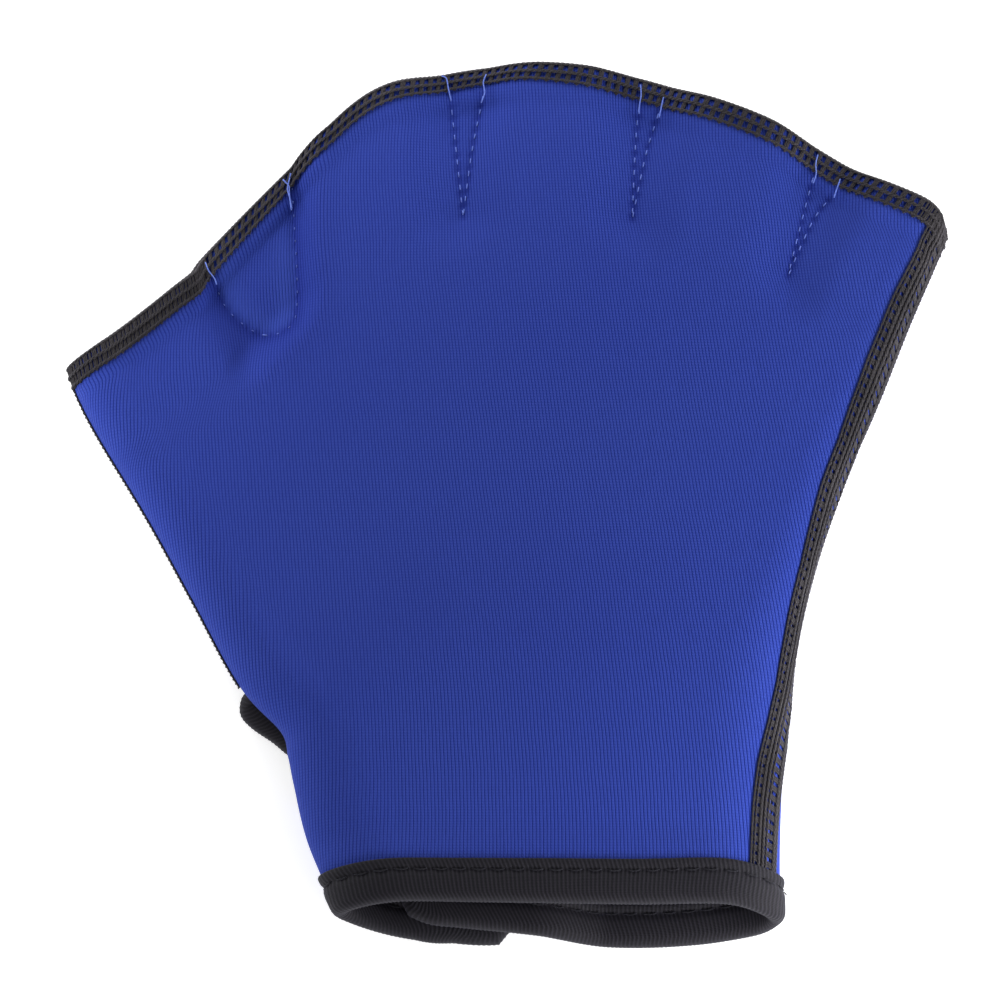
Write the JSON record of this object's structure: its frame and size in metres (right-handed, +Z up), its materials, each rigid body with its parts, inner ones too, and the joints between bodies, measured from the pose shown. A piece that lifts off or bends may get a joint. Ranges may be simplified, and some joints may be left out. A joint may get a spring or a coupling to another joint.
{
  "type": "webbed swim glove",
  "caption": "Webbed swim glove of knit-faced foam rubber with an open curved finger edge, stitched webs, a bound cuff and a wrist strap.",
  "frame": {"origin": "under the middle of the glove, on the surface it lies on", "axes": "+X from the thumb to the little finger, +Y from the wrist to the finger tips, +Z up out of the palm; the glove lies on its back"},
  "size_m": [0.2052, 0.209, 0.0196],
  "materials": {
    "blue_cloth": "knit",
    "binding_tape": "ribbed",
    "black_thread": "stitched",
    "hook_tape": "matte"
  },
  "bodies": {
    "root": {"palm_panel": "blue_cloth", "back_panel": "blue_cloth", "cuff_tape": "binding_tape", "side_seam": "black_thread", "thumb_seam": "black_thread", "palm_finger_edge": "black_thread", "back_finger_edge": "black_thread", "closure_patch": "hook_tape"}
  },
  "joints": []
}
